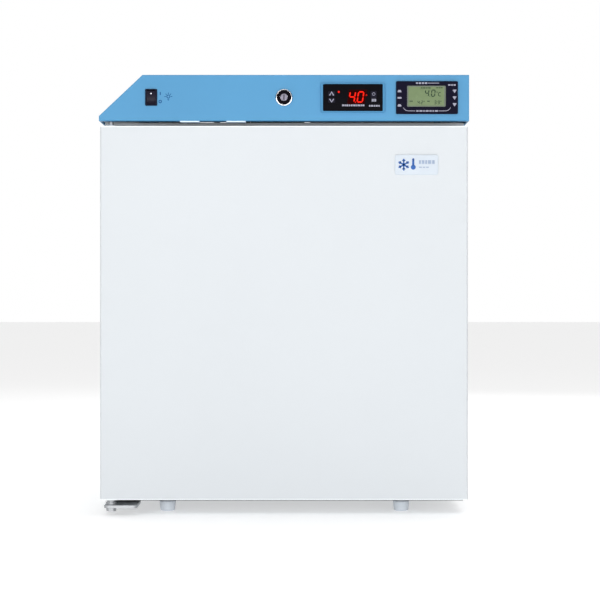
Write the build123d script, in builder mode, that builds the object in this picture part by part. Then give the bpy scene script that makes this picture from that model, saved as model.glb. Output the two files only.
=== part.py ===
from build123d import *
import math
import os

os.makedirs("parts", exist_ok=True)

# Cooled laboratory incubator, millimetres, +Z up, front towards -Y.
# Origin: centre of the footprint, on the ground.

# ---------------------------------------------------------------- main sizes
FRONT = -240.0          # outer face of door and fascia
BACK = 215.5            # rear flange of the cabinet
CAB_FRONT = -189.0      # front flange of the cabinet
CAB_X = 229.5           # half width of the cabinet
CAB_Z0 = 16.0           # underside of the base pan
CAB_Z1 = 497.0          # top of the cabinet
SHELL_T = 1.0           # shell sheet
DOOR_X = 230.0          # half width of the door
DOOR_Z0 = 20.5
DOOR_Z1 = 488.0
DOOR_BACK = -198.0      # rear face of the door liner
SKIN_T = 0.8
CORE_X = DOOR_X - SKIN_T  # half width of the door inside its skin
HOUSING_X = 231.5       # half width of the control housing
HOUSING_Z0 = 494.5
HOUSING_Z1 = 552.0
HOUSING_T = 1.5
CORNER_Z = 500.6        # where the slanted end starts
SLANT_X = -177.0        # where the slanted end meets the top
CH_X = 183.0            # half width of the chamber
CH_Z0 = 60.0
CH_Z1 = 452.0
CH_BACK = 170.0
STEP_Y = 40.0           # front of the step over the compressor
STEP_Z = 225.0
LINER_T = 2.0
BAY_Y = 75.0            # front wall of the compressor bay
BAY_Z = 191.0           # roof sheet of the compressor bay
HINGE_X = -218.0
HINGE_Y = -220.0
PIN_R = 3.5
BUSH_R = 3.55
SWITCH = (-166.0, 523.7)
LOCK = (0.0, 523.5)
CTRL = (86.0, 523.3)
LOGGER = (178.6, 523.3)
LCD = (177.8, 524.9)
FAN = (0.0, 385.0)
FEET = [(-150.0, -174.0), (150.0, -174.0)]
REAR_FEET = [(-190.0, 190.0), (190.0, 190.0)]

CENTRE = (Align.CENTER, Align.CENTER, Align.CENTER)
UP = (Align.CENTER, Align.CENTER, Align.MIN)
DOWN = (Align.CENTER, Align.CENTER, Align.MAX)


def block(x0, x1, y0, y1, z0, z1, mode=Mode.ADD):
    """Box between two corners."""
    with Locations(((x0 + x1) / 2, (y0 + y1) / 2, (z0 + z1) / 2)):
        Box(x1 - x0, y1 - y0, z1 - z0, mode=mode)


def rod_y(x, z, radius, y0, y1, mode=Mode.ADD):
    """Round bar along Y."""
    with Locations((x, (y0 + y1) / 2, z)):
        Cylinder(radius, y1 - y0, rotation=(90, 0, 0), mode=mode)


def rod_z(x, y, radius, z0, z1, mode=Mode.ADD):
    """Round bar along Z."""
    with Locations((x, y, (z0 + z1) / 2)):
        Cylinder(radius, z1 - z0, mode=mode)


def plate_y(x, z, width, height, corner, y0, y1, mode=Mode.ADD):
    """Rounded rectangle facing the front, between two depths."""
    with BuildSketch(Plane.XZ.offset(-y0)) as face:
        with Locations((x, z)):
            RectangleRounded(width, height, corner)
    extrude(face.sketch, amount=-(y1 - y0), mode=mode)


def tube(points, bend, radius):
    """Round tube of straight runs joined by arcs."""
    with BuildLine() as path:
        FilletPolyline(*points, radius=bend)
    wire = path.wires()[0]
    with BuildSketch(Plane(origin=wire @ 0, z_dir=wire % 0)) as ring:
        Circle(radius)
    sweep(ring.sketch, path=wire)


# ---------------------------------------------------------------- screws
# every M4 pan-head screw: seat of the head, and the turn that points its shank
INTO_BACK = (90, 0, 0)
INTO_FRONT = (-90, 0, 0)
UPWARDS = (180, 0, 0)
SCREWS = [
    Location((-215, -158, 12.5), UPWARDS),
    Location((-195, -158, 12.5), UPWARDS),
    Location((-120, -192, 20), INTO_BACK),
    Location((50, -192, 20), INTO_BACK),
    Location((210, -192, 20), INTO_BACK),
    Location((-214, -172, 500), (0, 0, 0)),
    Location((-200, -172, 500), (0, 0, 0)),
    Location((-207, -146, 500), (0, 0, 0)),
    Location((-140, 215, 545.5), INTO_FRONT),
    Location((30, 215, 545.5), INTO_FRONT),
    Location((200, 215, 545.5), INTO_FRONT),
    Location((-150, 206, 498.5), (0, 0, 0)),
    Location((100, 206, 498.5), (0, 0, 0)),
]


def screw_holes(radius, depth):
    """Clearance for the shank of every cabinet screw."""
    with Locations(*SCREWS):
        Cylinder(radius, depth, align=DOWN, mode=Mode.SUBTRACT)


with BuildPart() as machine_screws:
    with Locations(*SCREWS):
        Cylinder(2.0, 10.0, align=DOWN)
    with Locations(*SCREWS):
        Cone(3.6, 2.4, 1.5, align=UP)
    with Locations(*SCREWS):
        Box(3.8, 0.9, 2.0, mode=Mode.SUBTRACT)
    with Locations(*SCREWS):
        Box(0.9, 3.8, 2.0, mode=Mode.SUBTRACT)

# ---------------------------------------------------------------- cabinet
with BuildPart() as outer_shell:
    block(-CAB_X, CAB_X, CAB_FRONT, BACK, CAB_Z0, CAB_Z1)
    fillet(outer_shell.edges().filter_by(Axis.Z), 1.5)
    inner = CAB_X - SHELL_T
    block(-inner, inner, CAB_FRONT + SHELL_T, BACK - SHELL_T, 0, CAB_Z1 - SHELL_T, Mode.SUBTRACT)
    # the front opening leaves a steel frame for the magnetic gasket
    block(-195.5, 195.5, -200, -180, 50, 463, Mode.SUBTRACT)
    block(-219.5, 219.5, 205, 230, 0, 487, Mode.SUBTRACT)
    block(-228.5, 228.5, -188.5, -187, 0, 17.5, Mode.SUBTRACT)
    screw_holes(2.1, 12)

with BuildPart() as base_pan:
    block(-228.5, 228.5, -188, 214.5, 16, 17.5)
    for x, y in FEET:
        rod_z(x, y, 7.5, 17.5, 27.5)
    for x, y in FEET:
        rod_z(x, y, 4.05, 10, 30, Mode.SUBTRACT)
    for x, y in REAR_FEET:
        rod_z(x, y, 3.0, 10, 30, Mode.SUBTRACT)
    with BuildSketch(Plane.XY.offset(10)):
        with Locations((185, 125)):
            with GridLocations(0, 12, 1, 7):
                SlotOverall(50, 5)
    extrude(amount=10, mode=Mode.SUBTRACT)
    screw_holes(2.1, 12)

with BuildPart() as base_rail:
    block(-228, 228, -192, -189, 14.5, 25)
    fillet(base_rail.edges().filter_by(Axis.X).group_by(Axis.Y)[0], 1.0)
    screw_holes(2.1, 12)

with BuildPart() as back_panel:
    with BuildSketch(Plane.YZ.offset(-228.4)):
        with BuildLine():
            Polyline(
                (BAY_Y, 17.5), (BAY_Y + 1, 17.5), (BAY_Y + 1, BAY_Z - 1), (214.5, BAY_Z - 1),
                (214.5, 496), (213.5, 496), (213.5, BAY_Z), (BAY_Y, BAY_Z), close=True)
        make_face()
    extrude(amount=456.8)
    rod_z(85, 145, 6.2, 180, 200, Mode.SUBTRACT)

# profile of the chamber from the side
INSIDE = [(-195, CH_Z0), (STEP_Y, CH_Z0), (STEP_Y, STEP_Z), (CH_BACK, STEP_Z),
          (CH_BACK, CH_Z1), (-195, CH_Z1)]
OUTSIDE = [(CAB_FRONT, CH_Z0 - LINER_T), (STEP_Y + LINER_T, CH_Z0 - LINER_T),
           (STEP_Y + LINER_T, STEP_Z - LINER_T), (CH_BACK + LINER_T, STEP_Z - LINER_T),
           (CH_BACK + LINER_T, CH_Z1 + LINER_T), (CAB_FRONT, CH_Z1 + LINER_T)]
LEDGES = [132, 183, 235, 290, 345, 400]

with BuildPart() as liner_outside:
    with BuildSketch(Plane.YZ.offset(-CH_X - LINER_T)):
        with BuildLine():
            Polyline(*OUTSIDE, close=True)
        make_face()
    extrude(amount=2 * (CH_X + LINER_T))
    fillet(liner_outside.edges().filter_by(Axis.Y), 14)

with BuildPart() as liner_inside:
    with BuildSketch(Plane.YZ.offset(-CH_X)):
        with BuildLine():
            Polyline(*INSIDE, close=True)
        make_face()
    extrude(amount=2 * CH_X)
    fillet(liner_inside.edges().filter_by(Axis.Y), 12)

with BuildPart() as inner_liner:
    block(-195.4, 195.4, CAB_FRONT, CAB_FRONT + LINER_T, 50.1, 462.9)
    add(liner_outside.part)
    add(liner_inside.part, mode=Mode.SUBTRACT)
    # moulded ledges that carry the shelves
    for z in LEDGES:
        y1 = 30 if z < STEP_Z else 118
        block(-CH_X, -CH_X + 7, -172, y1, z - 5, z)
        block(CH_X - 7, CH_X, -172, y1, z - 5, z)
    rod_z(85, 145, 6.2, 200, 230, Mode.SUBTRACT)

with BuildPart() as insulation:
    with BuildSketch(Plane.YZ.offset(-228.5)):
        with BuildLine():
            Polyline((-188, 17.5), (BAY_Y, 17.5), (BAY_Y, BAY_Z), (213.5, BAY_Z),
                     (213.5, 496), (-188, 496), close=True)
        make_face()
    extrude(amount=457)
    block(-195.4, 195.4, -190, CAB_FRONT + LINER_T, 50.1, 462.9, Mode.SUBTRACT)
    add(liner_outside.part, mode=Mode.SUBTRACT)
    for x, y in FEET:
        rod_z(x, y, 7.6, 10, 40, Mode.SUBTRACT)
    rod_z(85, 145, 6.2, 180, 230, Mode.SUBTRACT)
    screw_holes(2.5, 12)

with BuildPart() as rear_feet:
    for x, y in REAR_FEET:
        rod_z(x, y, 12, 0, 16)
    fillet(rear_feet.faces().group_by(Axis.Z)[0].edges(), 2)
    for x, y in REAR_FEET:
        rod_z(x, y, 2.9, 16, 22)


def levelling_foot(x, y):
    """Tapered round foot with a short hexagon for a spanner and an M8 stud."""
    with Locations((x, y, 0)):
        Cone(9.3, 10.5, 12.5, align=UP)
    with BuildSketch(Plane.XY.offset(12.5)) as hexagon:
        with Locations((x, y)):
            RegularPolygon(8.0, 6, major_radius=False)
    extrude(hexagon.sketch, amount=2.5)
    rod_z(x, y, 4.0, 15, 34)


with BuildPart() as front_left_foot:
    levelling_foot(*FEET[0])
    fillet(front_left_foot.faces().group_by(Axis.Z)[0].edges(), 2.5)

with BuildPart() as front_right_foot:
    levelling_foot(*FEET[1])
    fillet(front_right_foot.faces().group_by(Axis.Z)[0].edges(), 2.5)

# ---------------------------------------------------------------- hinges
with BuildPart() as upper_hinge_plate:
    block(-229, -188, -232, -134, 497, 500)
    fillet(upper_hinge_plate.edges().filter_by(Axis.Z), 5)
    # pin, riveted over on top
    rod_z(HINGE_X, HINGE_Y, PIN_R, 477, 500)
    rod_z(HINGE_X, HINGE_Y, 5.5, 500, 501.5)
    screw_holes(2.1, 12)

with BuildPart() as lower_hinge_bracket:
    # flat leaf under the door, stepped up behind it to the base pan
    with BuildSketch(Plane.YZ.offset(-226)):
        with BuildLine():
            Polyline((-234, 9.5), (-178, 9.5), (-174, 12.5), (-146, 12.5), (-146, 16), (-176, 16),
                     (-180, 13), (-234, 13), close=True)
        make_face()
    extrude(amount=41.5)
    fillet(lower_hinge_bracket.edges().filter_by(Axis.Z).group_by(Axis.Y)[0], 5)
    rod_z(HINGE_X, HINGE_Y, PIN_R + 0.1, 5, 20, Mode.SUBTRACT)
    screw_holes(2.1, 12)

with BuildPart() as lower_hinge_pin:
    # shoulder bolt: hexagon below the bracket, collar above it, pin into the door
    with BuildSketch(Plane.XY.offset(4.6)):
        with Locations((HINGE_X, HINGE_Y)):
            RegularPolygon(5.5, 6, major_radius=False)
    extrude(amount=4.9)
    rod_z(HINGE_X, HINGE_Y, PIN_R, 9, 33)
    rod_z(HINGE_X, HINGE_Y, 7.0, 13, 16.0)
    rod_z(HINGE_X, HINGE_Y, 5.2, 16.0, 17.8)

# ---------------------------------------------------------------- control housing
RISE = (HOUSING_Z1 - CORNER_Z) / (SLANT_X + HOUSING_X)
DROP = HOUSING_T * math.sqrt(1 + RISE ** 2)
IN_X = HOUSING_X - HOUSING_T
IN_TOP = HOUSING_Z1 - HOUSING_T
IN_CORNER = CORNER_Z - DROP + RISE * HOUSING_T
IN_SLANT = -HOUSING_X + (IN_TOP - CORNER_Z + DROP) / RISE

with BuildPart() as control_housing:
    with BuildSketch(Plane.XZ.offset(-FRONT)):
        with BuildLine():
            Polyline((-HOUSING_X, HOUSING_Z0), (HOUSING_X, HOUSING_Z0), (HOUSING_X, HOUSING_Z1),
                     (SLANT_X, HOUSING_Z1), (-HOUSING_X, CORNER_Z), close=True)
        make_face()
    extrude(amount=-(215 - FRONT))
    fillet(control_housing.faces().sort_by(Axis.Y)[0].edges(), 1.0)
    with BuildSketch(Plane.XZ.offset(-FRONT - HOUSING_T)):
        with BuildLine():
            Polyline((-IN_X, HOUSING_Z0 - 5), (IN_X, HOUSING_Z0 - 5), (IN_X, IN_TOP),
                     (IN_SLANT, IN_TOP), (-IN_X, IN_CORNER), close=True)
        make_face()
    extrude(amount=-500, mode=Mode.SUBTRACT)
    # folded lips: one under the fascia, two at the back for the rear panel
    block(-IN_X, IN_X, FRONT + HOUSING_T, -227, HOUSING_Z0, HOUSING_Z0 + 1.5)
    block(-165, IN_X, 212, 213.5, 540.5, IN_TOP)
    block(220, IN_X, 212, 213.5, 502, 541)
    # fascia cut-outs for switch, lock, controller and logger
    block(SWITCH[0] - 6.6, SWITCH[0] + 6.6, -245, -235, SWITCH[1] - 9.9, SWITCH[1] + 9.9, Mode.SUBTRACT)
    rod_y(LOCK[0], LOCK[1], 9.6, -245, -235, Mode.SUBTRACT)
    block(CTRL[0] - 35.6, CTRL[0] + 35.6, -245, -235, CTRL[1] - 14.6, CTRL[1] + 14.6, Mode.SUBTRACT)
    block(LOGGER[0] - 33.1, LOGGER[0] + 33.1, -245, -235, LOGGER[1] - 16.6, LOGGER[1] + 16.6,
          Mode.SUBTRACT)
    screw_holes(2.1, 12)

with BuildPart() as housing_back_panel:
    with BuildSketch(Plane.XZ.offset(-213.5)):
        with BuildLine():
            Polyline((-IN_X + 0.2, 497), (IN_X - 0.2, 497), (IN_X - 0.2, IN_TOP - 0.1),
                     (IN_SLANT + 0.2, IN_TOP - 0.1), (-IN_X + 0.2, IN_CORNER), close=True)
        make_face()
    extrude(amount=-1.5)
    block(-215, 215, 196, 213.5, 497, 498.5)
    # ventilation slots and the cut-out of the mains inlet
    with BuildSketch(Plane.XZ.offset(-210)):
        with Locations((-50, 523)):
            with GridLocations(36, 6, 5, 5):
                SlotOverall(28, 3)
        with Locations((150, 523)):
            Rectangle(27.3, 20.3)
    extrude(amount=-10, mode=Mode.SUBTRACT)
    screw_holes(2.1, 12)

with BuildPart() as housing_clips:
    for x in (-118, -60):
        block(x - 12, x + 12, -239.4, -224, 493.0, 494.5)
        block(x - 12, x + 12, -226.9, -224, 494.5, 497.5)
        block(x - 12, x + 12, -232, -224, 496.0, 497.5)

# ---------------------------------------------------------------- rocker switch
ROCKER_Y = -239.5
TILT = math.radians(8)
with BuildPart() as switch_bezel:
    plate_y(*SWITCH, 15, 21, 1.2, -242, -240)
    fillet(switch_bezel.faces().sort_by(Axis.Y)[0].edges(), 0.6)
    block(SWITCH[0] - 6.5, SWITCH[0] + 6.5, -240, -221, SWITCH[1] - 9.8, SWITCH[1] + 9.8)
    block(SWITCH[0] - 5.8, SWITCH[0] + 5.8, -245, -233, SWITCH[1] - 9.0, SWITCH[1] + 9.0,
          Mode.SUBTRACT)
    with Locations((SWITCH[0], ROCKER_Y, SWITCH[1])):
        Cylinder(1.25, 12.4, rotation=(0, 90, 0), mode=Mode.SUBTRACT)
    for z in (-6, 0, 6):
        block(SWITCH[0] - 3, SWITCH[0] + 3, -221, -212, SWITCH[1] + z - 0.4, SWITCH[1] + z + 0.4)

with BuildPart() as light_rocker:
    side = Plane(origin=(SWITCH[0] - 5.6, ROCKER_Y, SWITCH[1]),
                 x_dir=(0, math.cos(TILT), math.sin(TILT)), z_dir=(1, 0, 0))
    with BuildSketch(side):
        with BuildLine():
            ThreePointArc((-3.1, 8.2), (-2.0, 4.0), (-1.7, 0))
            ThreePointArc((-1.7, 0), (-2.0, -4.0), (-3.1, -8.2))
            Polyline((-3.1, -8.2), (0.5, -8.2), (3, -4.5), (3, 4.5), (0.5, 8.2), (-3.1, 8.2))
        make_face()
    extrude(amount=11.2)
    with Locations((SWITCH[0], ROCKER_Y, SWITCH[1])):
        Cylinder(1.2, 12.2, rotation=(0, 90, 0))

# ---------------------------------------------------------------- cam lock
with BuildPart() as lock_barrel:
    rod_y(*LOCK, 10.75, -243.2, -240)
    fillet(lock_barrel.faces().sort_by(Axis.Y)[0].edges(), 1.4)
    rod_y(*LOCK, 9.3, -244, -242.2, Mode.SUBTRACT)
    rod_y(*LOCK, 9.5, -240, -222)
    rod_y(*LOCK, 4.55, -246, -220, Mode.SUBTRACT)

with BuildPart() as lock_nut:
    with BuildSketch(Plane.XZ.offset(238.5)):
        with Locations(LOCK):
            RegularPolygon(12.0, 6, major_radius=False)
            Circle(9.55, mode=Mode.SUBTRACT)
    extrude(amount=-5)

with BuildPart() as lock_core:
    rod_y(*LOCK, 4.5, -245, -221.5)
    fillet(lock_core.faces().sort_by(Axis.Y)[0].edges(), 0.4)
    block(LOCK[0] - 0.6, LOCK[0] + 0.6, -246, -237, LOCK[1] - 3.4, LOCK[1] + 3.4, Mode.SUBTRACT)
    # square tail, riveted over behind the cam
    block(LOCK[0] - 3, LOCK[0] + 3, -221.5, -219.5, LOCK[1] - 3, LOCK[1] + 3)
    rod_y(*LOCK, 4.4, -219.5, -218)

with BuildPart() as lock_cam:
    with BuildSketch(Plane.XZ.offset(221.5)):
        with BuildSketch(mode=Mode.PRIVATE) as ends:
            with Locations(LOCK):
                Circle(9)
            with Locations((LOCK[0] - 40.5, LOCK[1])):
                Circle(5)
        make_hull(ends.sketch.edges())
        with Locations(LOCK):
            Rectangle(6, 6, mode=Mode.SUBTRACT)
    extrude(amount=-2)

# ---------------------------------------------------------------- temperature controller
KEYS = {
    "key_up": (59.5, 527.9, 9.0, 6.2),
    "key_down": (59.5, 519.9, 9.0, 6.2),
    "key_set": (112.0, 526.9, 7.5, 8.9),
}
with BuildPart() as controller_case:
    plate_y(*CTRL, 80.4, 37, 2, -243, -240)
    fillet(controller_case.faces().sort_by(Axis.Y)[0].edges(), 0.8)
    block(CTRL[0] - 35.5, CTRL[0] + 35.5, -240, -182, CTRL[1] - 14.5, CTRL[1] + 14.5)
    block(CTRL[0] - 30, CTRL[0] + 30, -182, -173, CTRL[1] - 10, CTRL[1] + 8)
    plate_y(*CTRL, 74.8, 33.9, 1.3, -244, -241.6, Mode.SUBTRACT)
    # pockets behind the keys
    for x, z, w, h in KEYS.values():
        block(x - w / 2 - 0.65, x + w / 2 + 0.65, -242, -239.0,
              z - h / 2 - 0.65, z + h / 2 + 0.65, Mode.SUBTRACT)

with BuildPart() as controller_window:
    plate_y(*CTRL, 74.6, 33.7, 1.2, -242.8, -241.6)
    for x, z, w, h in KEYS.values():
        plate_y(x, z, w + 0.3, h + 0.3, 1.1, -244, -240, Mode.SUBTRACT)


def key_cap(x, z, w, h):
    """Key with a flange behind the window and a plunger."""
    plate_y(x, z, w, h, 1.0, -243.1, -241.1)
    block(x - w / 2 - 0.5, x + w / 2 + 0.5, -241.4, -240.6, z - h / 2 - 0.5, z + h / 2 + 0.5)
    rod_y(x, z, 1.5, -240.6, -239.8)


with BuildPart() as key_up:
    key_cap(*KEYS["key_up"])

with BuildPart() as key_down:
    key_cap(*KEYS["key_down"])

with BuildPart() as key_set:
    key_cap(*KEYS["key_set"])

# ---------------------------------------------------------------- data logger
with BuildPart() as logger_case:
    plate_y(*LOGGER, 77.2, 41, 1.5, -243.4, -240)
    fillet(logger_case.faces().sort_by(Axis.Y)[0].edges(), 0.7)
    block(LOGGER[0] - 33, LOGGER[0] + 33, -240, -216, LOGGER[1] - 16.5, LOGGER[1] + 16.5)
    plate_y(*LCD, 48.4, 26.4, 1.5, -244, -242.2, Mode.SUBTRACT)

with BuildPart() as logger_window:
    plate_y(*LCD, 48.2, 26.2, 1.4, -243.2, -242.2)

# ---------------------------------------------------------------- inside the housing
with BuildPart() as control_board:
    block(-90, 30, -60, 20, 505, 506.6)
    for x in (-84, 24):
        for y in (-54, 14):
            rod_z(x, y, 3, 497, 505)
    block(-80, -48, -40, -12, 506.6, 532)
    for x in (-36, -16):
        block(x - 8, x + 8, -40, -20, 506.6, 522)
    rod_z(-62, 4, 6, 506.6, 524)
    rod_z(-44, 4, 4, 506.6, 519)
    block(-40, 26, -60, -50, 506.6, 518)
    block(-20, 26, 10, 20, 506.6, 518)

with BuildPart() as wiring_loom:
    tube([(86, -173, 520), (86, -128, 520), (20, -92, 514), (0, -74, 512), (0, -60, 512)], 7, 2.5)
    tube([(178, -216, 523), (178, -150, 523), (140, -105, 518), (40, -82, 514), (18, -72, 512),
          (18, -60, 512)], 6, 2.0)
    tube([(-166, -212, 527), (-166, -150, 527), (-110, -95, 520), (-50, -80, 514), (-30, -72, 512),
          (-30, -60, 512)], 6, 2.0)
    tube([(150, 197, 523), (150, 150, 523), (90, 90, 516), (20, 50, 512), (10, 34, 512),
          (10, 20, 512)], 7, 3.0)

with BuildPart() as mains_inlet:
    plate_y(150, 523, 31, 24, 3, 215, 217.5)
    block(136.5, 163.5, 197, 215, 513, 533)
    with BuildSketch(Plane.XZ.offset(-218)):
        with BuildLine():
            Polyline((138, 515.2), (162, 515.2), (162, 526), (157.5, 530.8), (142.5, 530.8),
                     (138, 526), close=True)
        make_face()
    extrude(amount=17, mode=Mode.SUBTRACT)
    for x, z in ((-7, -1), (7, -1), (0, 3)):
        block(150 + x - 1, 150 + x + 1, 201, 213.5, 523 + z - 2, 523 + z + 2)

# ---------------------------------------------------------------- chamber fittings


def wire_shelf(z):
    """Wire shelf: rod frame, two stiffeners and closely spaced rods on top."""
    zc = z + 2.5
    with BuildLine() as loop:
        FilletPolyline((-178.5, -168, zc), (-178.5, 112, zc), (178.5, 112, zc),
                       (178.5, -168, zc), radius=14, close=True)
    wire = loop.wires()[0]
    with BuildSketch(Plane(origin=wire @ 0, z_dir=wire % 0)) as ring:
        Circle(2.5)
    sweep(ring.sketch, path=wire)
    for y in (-75, 20):
        with Locations((0, y, zc)):
            Cylinder(2.0, 356, rotation=(0, 90, 0))
    for i in range(23):
        rod_y(-165 + i * 15, zc + 3.1, 1.5, -168, 112)


with BuildPart() as shelf_upper:
    wire_shelf(345)

with BuildPart() as shelf_lower:
    wire_shelf(235)

with BuildPart() as light_lens:
    block(-60, 60, -152, -118, 443, 452)
    fillet(light_lens.faces().sort_by(Axis.Z)[0].edges(), 3)
    block(-58, 58, -150, -120, 445, 453, Mode.SUBTRACT)

with BuildPart() as air_duct_cover:
    plate_y(0, 339, 362, 222, 13, 133, 169.8)
    fillet(air_duct_cover.faces().sort_by(Axis.Y)[0].edges(), 1.2)
    plate_y(0, 339, 358, 218, 11, 135, 175, Mode.SUBTRACT)
    # guard over the fan: three rings of openings crossed by four ribs
    with BuildSketch(Plane.XZ.offset(-130)):
        with Locations(FAN):
            for outer, inside in ((40, 33), (30, 23), (20, 13)):
                Circle(outer)
                Circle(inside, mode=Mode.SUBTRACT)
            Rectangle(90, 4, rotation=45, mode=Mode.SUBTRACT)
            Rectangle(90, 4, rotation=-45, mode=Mode.SUBTRACT)
            Circle(13, mode=Mode.SUBTRACT)
        with Locations((0, 250)):
            with GridLocations(30, 12, 11, 2):
                SlotOverall(24, 5)
    extrude(amount=-7, mode=Mode.SUBTRACT)

with BuildPart() as fan_frame:
    with BuildSketch(Plane.XZ.offset(-135)):
        with Locations(FAN):
            RectangleRounded(92, 92, 5)
            Circle(43, mode=Mode.SUBTRACT)
            with GridLocations(82, 82, 2, 2):
                Circle(2.2, mode=Mode.SUBTRACT)
    extrude(amount=-25)
    # motor hub on four struts, with the shaft
    with BuildSketch(Plane.XZ.offset(-157)):
        with Locations(FAN):
            Circle(17)
            Rectangle(88, 5, rotation=45)
            Rectangle(88, 5, rotation=-45)
    extrude(amount=-3)
    rod_y(*FAN, 1.5, 138, 158)

with BuildPart() as fan_rotor:
    rod_y(*FAN, 16, 137, 155)
    with Locations(Plane(origin=(FAN[0], 146, FAN[1]), z_dir=(0, -1, 0))):
        with PolarLocations(27, 7):
            Box(25, 13, 1.5, rotation=(38, 0, 0))
    rod_y(*FAN, 1.55, 130, 160, Mode.SUBTRACT)

with BuildPart() as evaporator_coil:
    tube([(160, 170, 252), (160, 153, 252), (-160, 153, 252), (-160, 153, 280), (160, 153, 280),
          (160, 153, 308), (-160, 153, 308), (-160, 170, 308)], 12, 4.0)
    for i in range(23):
        x = -143 + i * 13
        block(x - 0.5, x + 0.5, 141, 166, 238, 322)

with BuildPart() as heater_element:
    tube([(-120, 170, 330), (-120, 153, 330), (120, 153, 330), (120, 170, 330)], 10, 3.0)

with BuildPart() as temperature_probe:
    rod_z(-110, 126, 3.0, 366, 416)
    fillet(temperature_probe.faces().sort_by(Axis.Z)[0].edges(), 2.0)
    # moulded clip round the sheath
    block(-118, -102, 122, 133, 396, 410)

with BuildPart() as drain_tube:
    rod_z(85, 145, 6.0, 40, 225)
    rod_z(85, 145, 4.6, 30, 230, Mode.SUBTRACT)

# ---------------------------------------------------------------- cooling machine
with BuildPart() as drip_tray:
    block(42, 128, 88, 206, 17.5, 56)
    fillet(drip_tray.edges().filter_by(Axis.Z), 8)
    block(44, 126, 90, 204, 19.5, 60, Mode.SUBTRACT)

COMP = (-70.0, 143.0)
with BuildPart() as compressor:
    with BuildSketch(Plane.XY.offset(32)):
        with Locations(COMP):
            Ellipse(72, 54)
    extrude(amount=128)
    fillet(compressor.faces().group_by(Axis.Z)[-1].edges(), 28)
    fillet(compressor.faces().group_by(Axis.Z)[0].edges(), 12)
    # weld seam between the two halves
    with BuildSketch(Plane.XY.offset(92)):
        with Locations(COMP):
            Ellipse(75, 57)
    extrude(amount=5)
    block(COMP[0] - 84, COMP[0] + 84, COMP[1] - 55, COMP[1] + 55, 29, 32.5)
    with Locations((COMP[0], COMP[1], 29)):
        with GridLocations(146, 88, 2, 2):
            Cylinder(5, 10, mode=Mode.SUBTRACT)

with BuildPart() as compressor_grommets:
    with Locations((COMP[0], COMP[1], 17.5)):
        with GridLocations(146, 88, 2, 2):
            Cylinder(9, 11.5, align=UP)
            Cylinder(4.9, 18, align=UP)
        with GridLocations(146, 88, 2, 2):
            Cylinder(2.5, 40, mode=Mode.SUBTRACT)

with BuildPart() as start_relay:
    block(5, 32, 124, 162, 66, 118)
    fillet(start_relay.edges().filter_by(Axis.X), 4)

COIL_Y = 234.0
ROWS = [222 + 32 * i for i in range(9)]
with BuildPart() as condenser_coil:
    route = [(-160, COIL_Y, 196), (-160, COIL_Y, ROWS[0])]
    for i, z in enumerate(ROWS):
        side_x = 184 if i % 2 == 0 else -184
        if i > 0:
            route.append((-side_x, COIL_Y, z))
        if i < len(ROWS) - 1:
            route.append((side_x, COIL_Y, z))
    route += [(198, COIL_Y, ROWS[-1]), (198, COIL_Y, 196)]
    tube(route, 13, 2.5)
    for i in range(19):
        x = -153 + i * 17
        rod_z(x, COIL_Y - 3.0, 0.9, 212, 488)
        rod_z(x, COIL_Y + 3.0, 0.9, 212, 488)

with BuildPart() as condenser_standoffs:
    for x in (-136 - 8.5, 136 + 8.5):
        for z in (270, 430):
            rod_y(x, z, 7, 214.5, COIL_Y - 4.0)

with BuildPart() as rear_bumpers:
    for x in (-211, 211):
        for z in (205, 492):
            rod_y(x, z, 7.5, 214.5 if z < 480 else 215.5, 245)
    fillet(rear_bumpers.faces().group_by(Axis.Y)[-1].edges(), 2)

with BuildPart() as filter_drier:
    rod_z(150, 150, 9.5, 80, 150)
    fillet(filter_drier.edges().filter_by(GeomType.CIRCLE), 5)
    rod_z(150, 150, 3.5, 72, 158)

with BuildPart() as refrigerant_tubes:
    # discharge line, liquid line, capillary and suction line
    tube([(-42, 143, 160), (-42, 143, 174), (-42, 196, 174), (-160, 196, 174), (-160, COIL_Y, 174),
          (-160, COIL_Y, 196)], 6.5, 2.5)
    tube([(198, COIL_Y, 196), (198, COIL_Y, 176), (198, 150, 176), (150, 150, 176),
          (150, 150, 158)], 8, 2.5)
    tube([(150, 150, 72), (150, 150, 56), (150, 100, 56), (150, 100, 190)], 7, 1.2)
    tube([(-98, 143, 160), (-98, 143, 174), (-98, 98, 174), (-98, 98, 190)], 6.5, 3.2)

# ---------------------------------------------------------------- door
GRIP = (255.0, 355.0)
with BuildPart() as door_skin:
    block(-DOOR_X, DOOR_X, FRONT, -200, DOOR_Z0 + 1.5, DOOR_Z1 - 1.5)
    fillet(door_skin.edges().filter_by(Axis.Z).group_by(Axis.Y)[0], 2.5)
    block(-DOOR_X + SKIN_T, DOOR_X - SKIN_T, FRONT + SKIN_T, -200 - SKIN_T, 0, 600, Mode.SUBTRACT)
    block(-219.2, 219.2, -205, -195, 0, 600, Mode.SUBTRACT)
    block(225, 235, -233.5, -204.5, GRIP[0] - 1.5, GRIP[1] + 1.5, Mode.SUBTRACT)

with BuildPart() as door_grip:
    block(210.5, DOOR_X, -233.5, -204.5, GRIP[0] - 1.5, GRIP[1] + 1.5)
    block(212, 235, -232, -206, GRIP[0], GRIP[1], Mode.SUBTRACT)

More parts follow.
